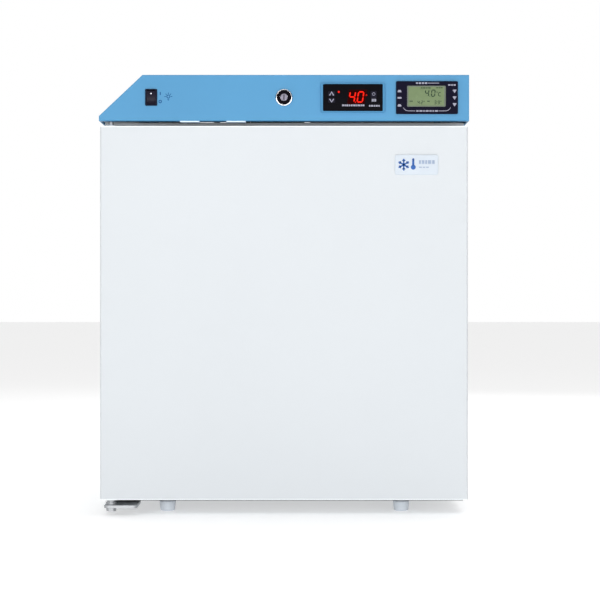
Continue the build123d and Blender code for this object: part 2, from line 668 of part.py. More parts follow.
with BuildPart() as door_end_caps:
    block(-DOOR_X, DOOR_X, FRONT, DOOR_BACK, DOOR_Z1 - 1.5, DOOR_Z1)
    block(-CORE_X, CORE_X, FRONT + SKIN_T, -200.8, 470, DOOR_Z1 - 1.5)
    block(-DOOR_X, DOOR_X, FRONT, DOOR_BACK, DOOR_Z0, DOOR_Z0 + 1.5)
    block(-CORE_X, CORE_X, FRONT + SKIN_T, -200.8, DOOR_Z0 + 1.5, 38)
    cap_edges = door_end_caps.edges().filter_by(Axis.Z)
    fillet(cap_edges.filter_by_position(Axis.Y, FRONT - 0.1, FRONT + 0.1), 2.5)
    # lightening pockets, left open towards the foam
    for xa, xb in ((-205, -46), (24, 226)):
        block(xa, xb, -236.5, -203.5, 460, 484.5, Mode.SUBTRACT)
        block(xa, xb, -236.5, -203.5, 24, 50, Mode.SUBTRACT)
    # seat of the hinge bushes, and the pocket that takes the lock cam
    rod_z(HINGE_X, HINGE_Y, 5.5, 0, 38, Mode.SUBTRACT)
    rod_z(HINGE_X, HINGE_Y, 5.5, 470, 600, Mode.SUBTRACT)
    block(-36, 12, -225.5, -215.5, 474, 600, Mode.SUBTRACT)

with BuildPart() as door_bushes:
    rod_z(HINGE_X, HINGE_Y, 5.5, DOOR_Z0, 38)
    rod_z(HINGE_X, HINGE_Y, 7.0, 18.2, DOOR_Z0)
    rod_z(HINGE_X, HINGE_Y, 5.5, 470, DOOR_Z1)
    rod_z(HINGE_X, HINGE_Y, 7.0, DOOR_Z1, 490.5)
    rod_z(HINGE_X, HINGE_Y, BUSH_R, 0, 35, Mode.SUBTRACT)
    rod_z(HINGE_X, HINGE_Y, BUSH_R, 473, 600, Mode.SUBTRACT)

with BuildPart() as door_insulation:
    block(-CORE_X, CORE_X, FRONT + SKIN_T, -200.8, 38, 470)
    block(-219.2, 219.2, -200.8, -200, 38, 470)
    plate_y(0, 256, 336, 362, 10.5, -200, -182)
    block(210.5, DOOR_X, -233.5, -204.5, GRIP[0] - 1.5, GRIP[1] + 1.5, Mode.SUBTRACT)
    # foam stays clear of the rounded edges of the skin
    block(-DOOR_X, -CORE_X + 1.8, FRONT, FRONT + 2.6, 0, 600, Mode.SUBTRACT)
    block(CORE_X - 1.8, DOOR_X, FRONT, FRONT + 2.6, 0, 600, Mode.SUBTRACT)

with BuildPart() as door_liner:
    block(-229, 229, -200, DOOR_BACK, DOOR_Z0 + 1.5, DOOR_Z1 - 1.5)
    block(-170, 170, DOOR_BACK, -180, 73, 439)
    fillet(door_liner.edges().filter_by(Axis.Y).filter_by_position(Axis.X, -171, 171), 12)
    fillet(door_liner.faces().sort_by(Axis.Y)[-1].edges(), 5)
    plate_y(0, 256, 336, 362, 10.5, -201, -182, Mode.SUBTRACT)

with BuildPart() as door_gasket:
    with BuildSketch(Plane.XZ.offset(-DOOR_BACK)):
        with Locations((0, 254.25)):
            RectangleRounded(442, 449.5, 4)
            RectangleRounded(410, 417.5, 3, mode=Mode.SUBTRACT)
    extrude(amount=-8.5)
    fillet(door_gasket.faces().sort_by(Axis.Y)[-1].edges(), 2.2)

with BuildPart() as lock_keep:
    with BuildSketch(Plane.XY.offset(DOOR_Z1)):
        with Locations((-12, -220.5)):
            RectangleRounded(72, 17, 3)
            SlotOverall(44, 8, mode=Mode.SUBTRACT)
    extrude(amount=1.2)
    for x in (-42.5, 18.5):
        with Locations((x, -220.5, DOOR_Z1 + 1.2)):
            Cone(2.6, 1.8, 1.0, align=UP)

with BuildPart() as door_badge:
    plate_y(165.6, 439.5, 54, 25, 2.5, -241.6, -240)
    fillet(door_badge.faces().sort_by(Axis.Y)[0].edges(), 0.6)

# ---------------------------------------------------------------- names and export
PIECES = {
    "outer_shell": outer_shell, "base_pan": base_pan, "base_rail": base_rail,
    "back_panel": back_panel, "inner_liner": inner_liner, "insulation": insulation,
    "rear_feet": rear_feet, "front_left_foot": front_left_foot,
    "front_right_foot": front_right_foot, "machine_screws": machine_screws,
    "upper_hinge_plate": upper_hinge_plate, "lower_hinge_bracket": lower_hinge_bracket,
    "lower_hinge_pin": lower_hinge_pin, "control_housing": control_housing,
    "housing_back_panel": housing_back_panel, "housing_clips": housing_clips,
    "switch_bezel": switch_bezel, "light_rocker": light_rocker, "lock_barrel": lock_barrel,
    "lock_nut": lock_nut, "lock_core": lock_core, "lock_cam": lock_cam,
    "controller_case": controller_case, "controller_window": controller_window,
    "key_up": key_up, "key_down": key_down, "key_set": key_set, "logger_case": logger_case,
    "logger_window": logger_window, "control_board": control_board,
    "wiring_loom": wiring_loom, "mains_inlet": mains_inlet, "shelf_upper": shelf_upper,
    "shelf_lower": shelf_lower, "light_lens": light_lens, "air_duct_cover": air_duct_cover,
    "fan_frame": fan_frame, "fan_rotor": fan_rotor, "evaporator_coil": evaporator_coil,
    "heater_element": heater_element, "temperature_probe": temperature_probe,
    "drain_tube": drain_tube, "drip_tray": drip_tray,
    "compressor": compressor, "compressor_grommets": compressor_grommets,
    "start_relay": start_relay, "condenser_coil": condenser_coil,
    "condenser_standoffs": condenser_standoffs, "rear_bumpers": rear_bumpers,
    "filter_drier": filter_drier, "refrigerant_tubes": refrigerant_tubes,
    "door_skin": door_skin, "door_grip": door_grip, "door_end_caps": door_end_caps,
    "door_bushes": door_bushes, "door_insulation": door_insulation,
    "door_liner": door_liner, "door_gasket": door_gasket, "lock_keep": lock_keep,
    "door_badge": door_badge,
}
for name, piece in PIECES.items():
    piece.part.label = name
    export_step(piece.part, f"parts/{name}.step")
    box = piece.part.bounding_box()
    print(name, len(piece.part.solids()), round(piece.part.volume / 1000, 1), "cm3",
          [round(v, 1) for v in (box.min.X, box.max.X, box.min.Y, box.max.Y, box.min.Z, box.max.Z)])
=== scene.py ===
import math

import bpy
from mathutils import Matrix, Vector


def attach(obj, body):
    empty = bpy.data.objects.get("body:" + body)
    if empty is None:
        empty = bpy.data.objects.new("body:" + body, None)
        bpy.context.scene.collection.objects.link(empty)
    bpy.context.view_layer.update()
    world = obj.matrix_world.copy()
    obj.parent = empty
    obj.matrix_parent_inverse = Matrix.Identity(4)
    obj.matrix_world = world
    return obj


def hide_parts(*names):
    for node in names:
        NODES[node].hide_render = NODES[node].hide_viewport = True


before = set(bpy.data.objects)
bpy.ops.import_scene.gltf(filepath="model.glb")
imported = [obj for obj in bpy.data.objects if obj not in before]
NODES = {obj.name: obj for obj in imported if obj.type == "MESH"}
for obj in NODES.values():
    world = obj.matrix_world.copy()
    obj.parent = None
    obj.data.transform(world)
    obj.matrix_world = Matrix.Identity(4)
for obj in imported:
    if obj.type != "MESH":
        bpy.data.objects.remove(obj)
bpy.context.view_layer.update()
MM = 0.001

# ------------------------------------------------------------------ materials
REFRACTION = 1.45
RELIEF_DEPTH = 0.2 * MM
SCATTER_DEPTH = 2.0 * MM


def material(name, color, rough=0.4, metal=0.0, coat=0.0, coat_rough=0.15, grain=0.0,
             grain_size=1.5, shade=0.03, shade_size=90.0, edge=0.5, spec=0.5, rough_var=0.06,
             sub=0.0, emit=None, emit_power=0.0):
    """Principled surface with fine relief, gentle colour drift, uneven gloss and softened edges.

    Sizes are in millimetres: grain_size of the relief, shade_size of the colour drift, edge radius.
    """
    mat = bpy.data.materials.new(name)
    mat.use_nodes = True
    nodes, links = mat.node_tree.nodes, mat.node_tree.links
    shader = nodes["Principled BSDF"]
    shader.inputs["Metallic"].default_value = metal
    shader.inputs["Coat Weight"].default_value = coat
    shader.inputs["Coat Roughness"].default_value = coat_rough
    shader.inputs["Specular IOR Level"].default_value = spec
    shader.inputs["IOR"].default_value = REFRACTION
    shader.inputs["Subsurface Weight"].default_value = sub
    shader.inputs["Subsurface Scale"].default_value = SCATTER_DEPTH
    if emit:
        shader.inputs["Emission Color"].default_value = (*emit, 1)
        shader.inputs["Emission Strength"].default_value = emit_power
    place = nodes.new("ShaderNodeTexCoord")
    drift = nodes.new("ShaderNodeTexNoise")
    drift.inputs["Scale"].default_value = 1000.0 / shade_size
    drift.inputs["Detail"].default_value = 4.0
    links.new(place.outputs["Object"], drift.inputs["Vector"])
    ramp = nodes.new("ShaderNodeValToRGB")
    ramp.color_ramp.elements[0].position = 0.3
    ramp.color_ramp.elements[1].position = 0.7
    ramp.color_ramp.elements[0].color = (*[c * (1 - shade) for c in color], 1)
    ramp.color_ramp.elements[1].color = (*[min(1.0, c * (1 + shade)) for c in color], 1)
    links.new(drift.outputs["Fac"], ramp.inputs["Fac"])
    links.new(ramp.outputs["Color"], shader.inputs["Base Color"])
    fine = nodes.new("ShaderNodeTexNoise")
    fine.inputs["Scale"].default_value = 1000.0 / grain_size
    fine.inputs["Detail"].default_value = 3.0
    links.new(place.outputs["Object"], fine.inputs["Vector"])
    gloss = nodes.new("ShaderNodeMapRange")
    gloss.inputs["To Min"].default_value = max(0.02, rough - rough_var)
    gloss.inputs["To Max"].default_value = min(1.0, rough + rough_var)
    links.new(fine.outputs["Fac"], gloss.inputs["Value"])
    links.new(gloss.outputs["Result"], shader.inputs["Roughness"])
    relief = nodes.new("ShaderNodeBump")
    relief.inputs["Strength"].default_value = min(1.0, grain)
    relief.inputs["Distance"].default_value = RELIEF_DEPTH
    links.new(fine.outputs["Fac"], relief.inputs["Height"])
    if edge > 0:
        bevel = nodes.new("ShaderNodeBevel")
        bevel.samples = 4
        bevel.inputs["Radius"].default_value = edge * MM
        links.new(bevel.outputs["Normal"], relief.inputs["Normal"])
    links.new(relief.outputs["Normal"], shader.inputs["Normal"])
    return mat


WHITE_PAINT = (0.612, 0.642, 0.668)
M = {
    "white_paint": material("white_paint", WHITE_PAINT, 0.5, spec=0.3, coat=0.08, coat_rough=0.3,
                            grain=0.12, grain_size=2.2, shade=0.008, shade_size=220, edge=0.8),
    "cap_plastic": material("cap_plastic", (0.83, 0.87, 0.9), 0.45, grain=0.1, grain_size=0.8,
                            shade=0.01, edge=0.4),
    "blue_paint": material("blue_paint", (0.064, 0.270, 0.495), 0.45, spec=0.3, coat=0.1,
                           coat_rough=0.3, grain=0.14, grain_size=2.0, shade=0.03, shade_size=160,
                           edge=0.7),
    "liner": material("liner_plastic", (0.84, 0.86, 0.875), 0.3, grain=0.06, grain_size=3.0,
                      shade=0.01, shade_size=150, edge=1.0, sub=0.05),
    "galvanised": material("galvanised_sheet", (0.52, 0.535, 0.55), 0.42, metal=0.9, grain=0.1,
                           grain_size=3.0, shade=0.16, shade_size=9, edge=0.4, rough_var=0.12),
    "zinc": material("zinc_plated_steel", (0.52, 0.53, 0.545), 0.38, metal=0.95, grain=0.1,
                     grain_size=0.7, shade=0.06, shade_size=12, edge=0.4, rough_var=0.1),
    "hinge_steel": material("hinge_steel", (0.45, 0.462, 0.478), 0.55, metal=0.9, grain=0.12,
                            grain_size=0.8, shade=0.06, shade_size=14, edge=0.4, rough_var=0.08),
    "chrome": material("chrome_plate", (0.74, 0.755, 0.78), 0.09, metal=1.0, grain=0.02,
                       grain_size=1.0, shade=0.02, edge=0.25, rough_var=0.03),
    "core_steel": material("lock_core_steel", (0.25, 0.235, 0.29), 0.6, metal=0.8, grain=0.1,
                           grain_size=0.5, shade=0.1, shade_size=4, edge=0.2),
    "inlay_black": material("lock_inlay", (0.002, 0.001, 0.003), 0.5, spec=0.05, grain=0.1,
                            grain_size=0.4, shade=0.1, shade_size=4, edge=0.1),
    "brass_nut": material("brass_nut", (0.7, 0.52, 0.25), 0.3, metal=1.0, grain=0.08, edge=0.3),
    # near-black rail under the door: painted shade standing in for the shadow beneath the cabinet
    "painted_shade_rail": material("painted_shade_rail", (0.03, 0.031, 0.034), 0.55, grain=0.25, grain_size=0.6,
                          shade=0.15, shade_size=30, edge=0.4),
    "foot_grey": material("foot_plastic", (0.56, 0.60, 0.65), 0.45, grain=0.15, grain_size=0.6,
                          shade=0.03, shade_size=14, edge=0.5),
    "rubber": material("black_rubber", (0.028, 0.028, 0.03), 0.7, grain=0.3, grain_size=0.7,
                       shade=0.15, shade_size=12, edge=0.5),
    "switch_black": material("switch_body", (0.006, 0.008, 0.022), 0.45, spec=0.1, grain=0.18,
                             grain_size=0.4, shade=0.1, shade_size=6, edge=0.35),
    "rocker_black": material("rocker_plastic", (0.009, 0.007, 0.017), 0.32, spec=0.12, grain=0.1,
                             grain_size=0.4, shade=0.1, shade_size=5, edge=0.4),
    # controller case: blue like the housing, made a little darker as painted shade for the shadow
    # round the controller
    "bezel": material("controller_bezel_painted_shade", (0.065, 0.24, 0.44), 0.5, spec=0.2, grain=0.15,
                      grain_size=0.5, shade=0.03, shade_size=20, edge=0.4),
    "window_black": material("controller_glass", (0.0016, 0.0012, 0.003), 0.16, grain=0.02,
                             grain_size=6.0, shade=0.2, shade_size=15, edge=0.15, rough_var=0.04,
                             spec=0.022),
    "key_dark": material("key_rubber", (0.008, 0.007, 0.016), 0.6, spec=0.12, grain=0.2,
                         grain_size=0.4, shade=0.1, shade_size=4, edge=0.4),
    "logger_navy": material("logger_plastic", (0.004, 0.003, 0.014), 0.34, spec=0.04,
                            grain=0.2, grain_size=0.45, shade=0.12, shade_size=18, edge=0.4),
    "lcd": material("lcd_panel", (0.135, 0.195, 0.083), 0.35, spec=0.2, coat=0.1, coat_rough=0.1,
                    grain=0.12, grain_size=0.5, shade=0.08, shade_size=9, edge=0.2),
    "pcb": material("circuit_board", (0.02, 0.13, 0.06), 0.4, grain=0.3, grain_size=2.5,
                    shade=0.3, shade_size=5, edge=0.2),
    "wire": material("wire_sleeve", (0.03, 0.03, 0.035), 0.5, grain=0.35, grain_size=1.0,
                     shade=0.1, edge=0.2),
    "socket": material("inlet_plastic", (0.018, 0.018, 0.02), 0.45, grain=0.2, grain_size=0.5,
                       shade=0.1, shade_size=10, edge=0.3),
    "shelf": material("coated_wire", (0.82, 0.83, 0.83), 0.33, grain=0.15, grain_size=2.0,
                      shade=0.02, edge=0.3, coat=0.3),
    "lens": material("frosted_lens", (0.86, 0.88, 0.89), 0.45, grain=0.3, grain_size=1.2,
                     shade=0.02, edge=0.5, sub=0.3),
    "fan": material("fan_plastic", (0.02, 0.02, 0.021), 0.5, grain=0.2, grain_size=0.6,
                    shade=0.1, shade_size=20, edge=0.4),
    "fins": material("aluminium_fins", (0.72, 0.73, 0.75), 0.35, metal=0.95, grain=0.2,
                     grain_size=1.0, shade=0.06, shade_size=10, edge=0.1),
    "heater": material("heater_sheath", (0.34, 0.32, 0.3), 0.4, metal=0.8, grain=0.2, shade=0.15,
                       shade_size=8, edge=0.2),
    "probe": material("probe_steel", (0.7, 0.7, 0.71), 0.22, metal=1.0, grain=0.05, shade=0.03,
                      edge=0.3),
    "hose": material("drain_hose", (0.72, 0.73, 0.73), 0.45, grain=0.2, shade=0.03, edge=0.3),
    "tray": material("tray_plastic", (0.1, 0.1, 0.105), 0.5, grain=0.2, grain_size=0.8, shade=0.1,
                     edge=0.5),
    "machine_black": material("black_enamel", (0.012, 0.012, 0.013), 0.22, grain=0.14,
                              grain_size=2.5, shade=0.2, shade_size=30, edge=0.8, coat=0.6),
    "coil_black": material("coil_enamel", (0.018, 0.018, 0.019), 0.4, grain=0.2, grain_size=1.0,
                           shade=0.2, shade_size=20, edge=0.2),
    "copper": material("copper", (0.62, 0.30, 0.19), 0.3, metal=1.0, grain=0.1, grain_size=1.5,
                       shade=0.18, shade_size=12, edge=0.3, rough_var=0.12),
    "foam": material("rigid_foam", (0.78, 0.68, 0.4), 0.85, grain=0.8, grain_size=1.6, shade=0.1,
                     shade_size=6, edge=0.5),
    "gasket": material("gasket_vinyl", (0.62, 0.64, 0.66), 0.5, grain=0.15, grain_size=0.8,
                       shade=0.03, shade_size=30, edge=0.3),
    "bush": material("bush_plastic", (0.72, 0.74, 0.75), 0.4, grain=0.1, shade=0.03, edge=0.3),
    "clip_white": material("clip_plastic", (0.66, 0.78, 0.9), 0.4, grain=0.1, grain_size=0.5,
                           shade=0.03, shade_size=10, edge=0.3),
    "grip": material("grip_plastic", (0.42, 0.45, 0.49), 0.5, grain=0.3, grain_size=0.5,
                     shade=0.04, shade_size=20, edge=0.5),
    "badge": material("badge_plate", (0.565, 0.62, 0.685), 0.45, spec=0.25, grain=0.05, shade=0.02,
                      shade_size=15, edge=0.3, coat=0.1, coat_rough=0.2),
    "print_blue": material("print_blue", (0.012, 0.075, 0.22), 0.6, spec=0.1, grain=0.1,
                           grain_size=0.2, shade=0.1, shade_size=2, edge=0.0),
    "print_white": material("print_white", (0.33, 0.33, 0.41), 0.5, spec=0.15, grain=0.1,
                            grain_size=0.2, shade=0.08, shade_size=2, edge=0.0),
    "print_grey": material("print_grey", (0.27, 0.27, 0.36), 0.5, grain=0.1, grain_size=0.2,
                           shade=0.08, shade_size=2, edge=0.0),
    "print_navy": material("print_navy", (0.045, 0.135, 0.42), 0.55, spec=0.15, grain=0.1,
                           grain_size=0.2, shade=0.08, shade_size=2, edge=0.0),
    "print_teal": material("print_teal", (0.33, 0.40, 0.53), 0.55, spec=0.15, grain=0.1,
                           grain_size=0.2, shade=0.08, shade_size=2, edge=0.0),
    "lcd_dark": material("lcd_segments", (0.012, 0.03, 0.02), 0.5, spec=0.1, grain=0.05,
                         grain_size=0.3, shade=0.06, shade_size=2, edge=0.0),
    "lcd_rim": material("lcd_rim", (0.13, 0.145, 0.135), 0.45, spec=0.2, grain=0.1,
                        grain_size=0.4, shade=0.06, shade_size=6, edge=0.2),
    "led_red": material("led_red", (0.35, 0.004, 0.0), 0.6, spec=0.03, shade=0.05, shade_size=2,
                        edge=0.0, emit=(1.0, 0.022, 0.012), emit_power=0.75),
    "led_glow": material("led_glow", (0.012, 0.0, 0.0), 0.5, spec=0.02, shade=0.3, shade_size=4,
                         edge=0.0, emit=(1.0, 0.0, 0.0), emit_power=0.012),
    "dot_white": material("dot_white", (0.7, 0.72, 0.8), 0.4, shade=0.03, shade_size=2, edge=0.1),
}

FINISH = {
    "white_paint": ["outer_shell", "door_skin"],
    "cap_plastic": ["door_end_caps"],
    "blue_paint": ["control_housing"],
    "liner": ["inner_liner", "door_liner", "air_duct_cover"],
    "galvanised": ["base_pan", "back_panel", "housing_back_panel"],
    "zinc": ["machine_screws", "lock_cam", "lock_keep"],
    "hinge_steel": ["upper_hinge_plate", "lower_hinge_bracket", "lower_hinge_pin"],
    "chrome": ["lock_barrel"],
    "core_steel": ["lock_core"],
    "brass_nut": ["lock_nut"],
    # the base rail takes the painted shade colour for the shadow under the cabinet
    "painted_shade_rail": ["base_rail"],
    "foot_grey": ["front_left_foot", "front_right_foot"],
    "rubber": ["rear_feet", "compressor_grommets", "rear_bumpers", "condenser_standoffs"],
    "switch_black": ["switch_bezel"],
    "rocker_black": ["light_rocker"],
    "bezel": ["controller_case"],
    "window_black": ["controller_window"],
    "key_dark": ["key_up", "key_down", "key_set"],
    "logger_navy": ["logger_case"],
    "lcd": ["logger_window"],
    "pcb": ["control_board"],
    "wire": ["wiring_loom"],
    "socket": ["mains_inlet", "start_relay"],
    "shelf": ["shelf_upper", "shelf_lower"],
    "lens": ["light_lens"],
    "fan": ["fan_frame", "fan_rotor"],
    "fins": ["evaporator_coil"],
    "heater": ["heater_element"],
    "probe": ["temperature_probe"],
    "hose": ["drain_tube"],
    "tray": ["drip_tray"],
    "machine_black": ["compressor"],
    "coil_black": ["condenser_coil"],
    "copper": ["filter_drier", "refrigerant_tubes"],
    "foam": ["insulation", "door_insulation"],
    "gasket": ["door_gasket"],
    "bush": ["door_bushes"],
    "clip_white": ["housing_clips"],
    "grip": ["door_grip"],
    "badge": ["door_badge"],
}
for finish, names in FINISH.items():
    for name in names:
        NODES[name].data.materials.clear()
        NODES[name].data.materials.append(M[finish])

# ------------------------------------------------------------------ small shapes on faces
SUNK = 0.03


def build(name, verts, faces, finish, body, smooth=False):
    """Mesh object in millimetres that moves with a body."""
    mesh = bpy.data.meshes.new(name)
    mesh.from_pydata([(x * MM, y * MM, z * MM) for x, y, z in verts], [], faces)
    mesh.update()
    mesh.materials.append(M[finish])
    for poly in mesh.polygons:
        poly.use_smooth = smooth
    obj = bpy.data.objects.new(name, mesh)
    bpy.context.scene.collection.objects.link(obj)
    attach(obj, body)
    return obj


def print_on(name, shapes, y, finish, body="cabinet", thick=0.06):
    """Thin raised shapes on a front-facing surface at depth y; shapes are lists of (x, z).

    They stand thick proud of the surface and sink SUNK into it.
    """
    verts, faces = [], []
    for shape in shapes:
        area = sum(a[0] * b[1] - b[0] * a[1] for a, b in zip(shape, shape[1:] + shape[:1]))
        pts = shape if area > 0 else shape[::-1]
        n, base = len(pts), len(verts)
        verts += [(x, y - thick, z) for x, z in pts] + [(x, y + SUNK, z) for x, z in pts]
        faces.append([base + i for i in range(n)])
        for i in range(n):
            j = (i + 1) % n
            faces.append([base + j, base + i, base + n + i, base + n + j])
        faces.append([base + n + i for i in reversed(range(n))])
    return build(name, verts, faces, finish, body)


def bar(x0, x1, z0, z1):
    return [(x0, z0), (x1, z0), (x1, z1), (x0, z1)]


def disc(x, z, r, n=32):
    return [(x + r * math.cos(2 * math.pi * i / n), z + r * math.sin(2 * math.pi * i / n))
            for i in range(n)]


def stroke(points, width):
    """Line of quads along points, each joint cut along the mean direction of its two sides."""
    out = []
    left, right = [], []
    for i, (x, z) in enumerate(points):
        a = points[max(i - 1, 0)]
        b = points[min(i + 1, len(points) - 1)]
        d = Vector((b[0] - a[0], b[1] - a[1])).normalized()
        left.append((x - d.y * width / 2, z + d.x * width / 2))
        right.append((x + d.y * width / 2, z - d.x * width / 2))
    for i in range(len(points) - 1):
        out.append([right[i], right[i + 1], left[i + 1], left[i]])
    return out


def loop(x, z, r, width, n=28):
    """Ring of quads; r is the radius of its middle line."""
    out = []
    ri, ro = r - width / 2, r + width / 2
    for i in range(n):
        a, b = 2 * math.pi * i / n, 2 * math.pi * (i + 1) / n
        out.append([(x + ri * math.cos(a), z + ri * math.sin(a)),
                    (x + ro * math.cos(a), z + ro * math.sin(a)),
                    (x + ro * math.cos(b), z + ro * math.sin(b)),
                    (x + ri * math.cos(b), z + ri * math.sin(b))])
    return out


SEGMENTS = {"0": "abcdef", "1": "bc", "2": "abged", "3": "abgcd", "4": "fgbc", "5": "afgcd",
            "6": "afgedc", "7": "abc", "8": "abcdefg", "9": "abcdfg"}


def digit(char, x, z, w, h, t, slant=0.0):
    """Seven-segment figure; x, z is its lower left corner, t the stroke, slant its lean."""
    gap = 0.12 * t
    half = t / 2

    def across(zc):
        return [(gap + half, zc), (gap + t, zc + half), (w - gap - t, zc + half),
                (w - gap - half, zc), (w - gap - t, zc - half), (gap + t, zc - half)]

    def upright(xc, z0, z1):
        return [(xc, z0 + gap), (xc + half, z0 + gap + half), (xc + half, z1 - gap - half),
                (xc, z1 - gap), (xc - half, z1 - gap - half), (xc - half, z0 + gap + half)]

    parts = {
        "a": across(h - half), "g": across(h / 2), "d": across(half),
        "f": upright(half, h / 2, h - half), "b": upright(w - half, h / 2, h - half),
        "e": upright(half, half, h / 2), "c": upright(w - half, half, h / 2),
    }
    return [[(x + px + pz * slant, z + pz) for px, pz in parts[s]] for s in SEGMENTS[char]]


def word_bars(x0, x1, z0, z1, widths):
    """Row of little blocks that stands for a line of lettering, filling x0 to x1."""
    space = 0.35 * (sum(widths) / len(widths))
    unit = (x1 - x0) / (sum(widths) + (len(widths) - 1) * space)
    gap = space * unit
    out, x = [], x0
    for w in widths:
        out.append(bar(x, x + w * unit, z0, z1))
        x += w * unit + gap
    return out


# ------------------------------------------------------------------ control panel
FASCIA = -240.0

# legends beside the switch: on, off and lamp symbols
LAMP_X, LAMP_Z = -144.6, 524.9
RAYS = [stroke([(LAMP_X + 3.0 * math.cos(a), LAMP_Z + 3.0 * math.sin(a)),
                (LAMP_X + 4.9 * math.cos(a), LAMP_Z + 4.9 * math.sin(a))], 0.8)
        for a in (math.radians(d) for d in (0, 45, 90, 135, 180))]
print_on("switch_legend", [bar(-155.3, -154.1, 526.6, 530.4)] + loop(-154.7, 518.6, 1.6, 1.0)
         + loop(LAMP_X, LAMP_Z, 1.9, 0.9)
         + [bar(-145.8, -143.4, 521.1, 521.9), bar(-145.4, -143.8, 519.9, 520.5)]
         + [quad for ray in RAYS for quad in ray], FASCIA, "print_blue")

# red figures, lamp and degree mark of the controller, over a faint painted red glow on the glass
# standing in for light spilling from the figures
WINDOW = -242.8
LED = {"z": 516.8, "w": 8.3, "h": 14.4, "t": 1.75, "slant": 0.16}
print_on("controller_glow", [[(78.5, 515.2), (100.6, 515.2), (104.0, 533.2), (81.2, 533.2)]],
         WINDOW, "led_glow", thick=0.02)
print_on("controller_figures",
         digit("4", 79.8, **LED) + digit("0", 90.2, **LED)
         + [disc(89.2, 517.5, 0.75, 16)] + loop(102.9, 526.3, 0.75, 0.4, 16)
         + [disc(68.4, 530.3, 1.25, 20)], WINDOW, "led_red", thick=0.08)
print_on("controller_print", word_bars(72.5, 100.3, 512.4, 514.6, [3, 2, 3, 2, 3, 4, 2, 3, 2, 3])
         + word_bars(106.2, 119.6, 511.9, 514.0, [2, 3, 2, 3, 2]), WINDOW, "print_white")
print_on("key_set_label", word_bars(109.6, 115.0, 518.2, 521.6, [2, 2, 2]), WINDOW, "print_white")

# arrows and mark on the keys
KEY_FACE = -243.1
print_on("key_up_mark", stroke([(57.0, 525.9), (59.5, 530.2), (62.0, 525.9)], 1.35), KEY_FACE,
         "print_grey", "key_up")
print_on("key_down_mark", stroke([(57.0, 521.6), (59.5, 517.6), (62.0, 521.6)], 1.35), KEY_FACE,
         "print_grey", "key_down")
print_on("key_set_mark", loop(112.0, 527.6, 1.7, 0.55, 24), KEY_FACE, "print_grey", "key_set")

# display of the logger: rim, large figure, two small ones, degree C, little marks
LCD = -243.2
print_on("lcd_rim", [bar(153.9, 155.2, 512.1, 537.8), bar(200.2, 201.5, 512.1, 537.8),
                     bar(155.2, 200.2, 536.9, 537.8), bar(155.2, 200.2, 512.1, 513.0)],
         LCD, "lcd_rim", thick=0.1)
BIG = {"z": 524.2, "w": 5.4, "h": 9.0, "t": 1.25, "slant": 0.1}
SMALL = {"z": 514.9, "w": 2.7, "h": 4.6, "t": 0.7, "slant": 0.1}
print_on("lcd_figures",
         digit("4", 175.4, **BIG) + digit("0", 183.2, **BIG)
         + [disc(182.0, 524.8, 0.5, 12)] + loop(191.0, 530.0, 0.55, 0.45, 14)
         + stroke([(195.6, 529.4), (193.8, 529.4), (192.9, 528.6), (192.9, 525.9), (193.8, 525.1),
                   (195.6, 525.1)], 0.8)
         + digit("4", 166.4, **SMALL) + digit("2", 170.6, **SMALL)
         + digit("3", 187.4, **SMALL) + digit("9", 191.6, **SMALL)
         + word_bars(171.0, 183.0, 534.6, 535.8, [2, 3, 2, 3]) + [bar(156.8, 160.8, 518.2, 519.2)]
         + word_bars(190.0, 198.0, 535.0, 535.9, [3, 2, 3]) + [bar(178.8, 182.0, 518.1, 519.2)]
         + loop(195.9, 518.5, 0.45, 0.4, 12) + loop(174.9, 518.5, 0.45, 0.4, 12), LCD, "lcd_dark",
         thick=0.05)

# printed membrane marks round the display
LOGGER_FACE = -243.4
LOGGER_X = 178.4
marks = []
for z in (531.4, 513.6):
    marks.append([(141.9, z - 1.6), (146.5, z - 1.6), (146.5, z - 0.2), (145.4, z + 1.3),
                  (143.0, z + 1.3), (141.9, z - 0.2)])
marks.append([(141.7, 521.8), (146.3, 521.8), (147.0, 522.8), (146.3, 523.9), (141.7, 523.9)])
for z in (531.2, 522.8, 514.4):
    marks.append([(210.7, z + 1.9), (215.2, z + 1.9), (215.2, z + 0.9), (212.95, z - 2.4),
                  (210.7, z + 0.9)])
marks += word_bars(164.8, 178.8, 540.2, 542.2, [3, 4, 3, 4]) + [bar(179.6, 193.6, 540.8, 541.6)]
marks += word_bars(205.0, 214.4, 538.0, 539.8, [3, 2, 3])
swing = [(148.9, 510.6), (150.3, 508.7), (152.2, 507.2), (154.8, 506.6)]
mirrored = [(2 * LOGGER_X - x, z) for x, z in reversed(swing)]
marks += stroke(swing + [(164.0, 506.5)], 0.75) + stroke([(192.8, 506.5)] + mirrored, 0.75)
marks += word_bars(165.2, 192.0, 505.6, 507.4, [3, 4, 2, 4, 3, 2, 4])
print_on("logger_print", marks, LOGGER_FACE, "print_white", thick=0.05)

# black inlay round the key slot
LOCK_Z = 523.5
LOCK_FACE = -242.2
print_on("lock_inlay", loop(0.0, LOCK_Z, 6.95, 4.6, 48), LOCK_FACE, "inlay_black", thick=0.5)

# domed dot on the upper half of the rocker, tilted with it
TILT = math.radians(8)
PIVOT = (-166.0, -239.5, 523.7)
DOT_UP, DOT_OUT, DOT_R, DOT_DOME = 5.1, 2.2, 1.0, 0.28
RINGS, SIDES = 4, 20
dot, dot_faces = [], []
for ring in range(RINGS + 1):
    a = math.pi / 2 * ring / RINGS
    for k in range(SIDES):
        b = 2 * math.pi * k / SIDES
        u = DOT_R * math.cos(a) * math.cos(b)
        up = DOT_UP + DOT_R * math.cos(a) * math.sin(b)
        out = -DOT_DOME * math.sin(a) - DOT_OUT
        dot.append((PIVOT[0] + u, PIVOT[1] + out * math.cos(TILT) - up * math.sin(TILT),
                    PIVOT[2] + out * math.sin(TILT) + up * math.cos(TILT)))
for ring in range(RINGS):
    for k in range(SIDES):
        m = (k + 1) % SIDES
        low, high = ring * SIDES, (ring + 1) * SIDES
        dot_faces.append([low + k, low + m, high + m, high + k])
dot_faces.append(list(range(SIDES))[::-1])
build("rocker_dot", dot, dot_faces, "dot_white", "light_rocker", smooth=True)

